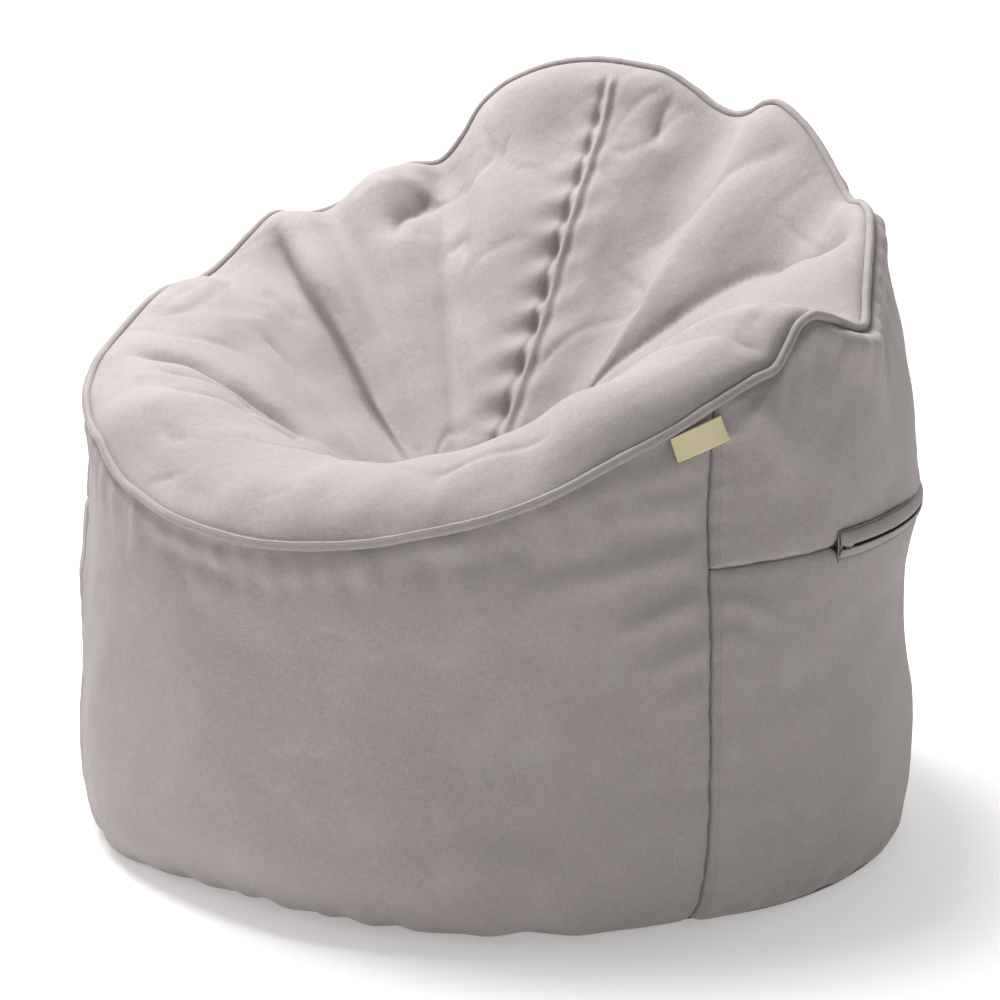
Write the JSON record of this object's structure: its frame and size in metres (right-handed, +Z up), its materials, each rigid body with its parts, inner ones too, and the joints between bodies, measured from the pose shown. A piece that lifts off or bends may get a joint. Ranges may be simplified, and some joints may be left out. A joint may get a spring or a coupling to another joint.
{
  "type": "bean bag chair",
  "caption": "Round tub-shaped bean bag chair with a high back, piped rim, sunken seat and a zip round the back of its cloth cover.",
  "frame": {"origin": "on the floor, under the middle of the round base", "axes": "+Z up, the sitter faces -Y, +X to the right seen from the front"},
  "size_m": [0.8438, 0.8439, 0.7254],
  "materials": {
    "cover_cloth": "warm grey cotton twill",
    "piping_cord": "undyed cotton filler cord",
    "label_cloth": "blank cream woven tape",
    "thread": "polyester sewing thread to match the cover",
    "zip_tape": "woven polyester tape",
    "zip_coil": "nylon coil",
    "slider_metal": "enamelled zinc",
    "liner_cloth": "plain white polyester lining",
    "beads": "expanded polystyrene beads"
  },
  "bodies": {
    "chair": {"back_lower_panel": "cover_cloth", "back_upper_panel": "cover_cloth", "base_panel": "cover_cloth", "bead_fill": "beads", "front_panel": "cover_cloth", "liner_base": "liner_cloth", "liner_top": "liner_cloth", "liner_wall": "liner_cloth", "liner_zip_coil_lower": "zip_coil", "liner_zip_coil_upper": "zip_coil", "liner_zip_stops": "slider_metal", "liner_zip_tape_lower": "zip_tape", "liner_zip_tape_upper": "zip_tape", "piping_cord": "piping_cord", "piping_cover": "cover_cloth", "seat_panel": "cover_cloth", "side_topstitch_left": "thread", "side_topstitch_right": "thread", "zip_coil_lower": "zip_coil", "zip_coil_upper": "zip_coil", "zip_end_tacks": "thread", "zip_flap_lower": "cover_cloth", "zip_flap_upper": "cover_cloth", "zip_stops": "slider_metal", "zip_tape_lower": "zip_tape", "zip_tape_upper": "zip_tape"},
    "zip_slider": {"zip_slider": "slider_metal"},
    "liner_zip_slider": {"liner_zip_slider": "slider_metal"},
    "side_label": {"side_label": "label_cloth"}
  },
  "joints": [
    {"name": "zip_travel", "type": "hinge", "parent": "chair", "child": "zip_slider", "pos_m": [0, 0, 0.326], "axis": [0, 0, 1], "range_deg": [0, 212]},
    {"name": "liner_zip_travel", "type": "hinge", "parent": "chair", "child": "liner_zip_slider", "pos_m": [0, 0, 0.372], "axis": [0, 0, 1], "range_deg": [0, 96]},
    {"name": "label_swing", "type": "hinge", "parent": "chair", "child": "side_label", "pos_m": [0.3067, -0.27032, 0.45053], "axis": [-0.6072, -0.7279, -0.3187], "range_deg": [0, 78]}
  ]
}
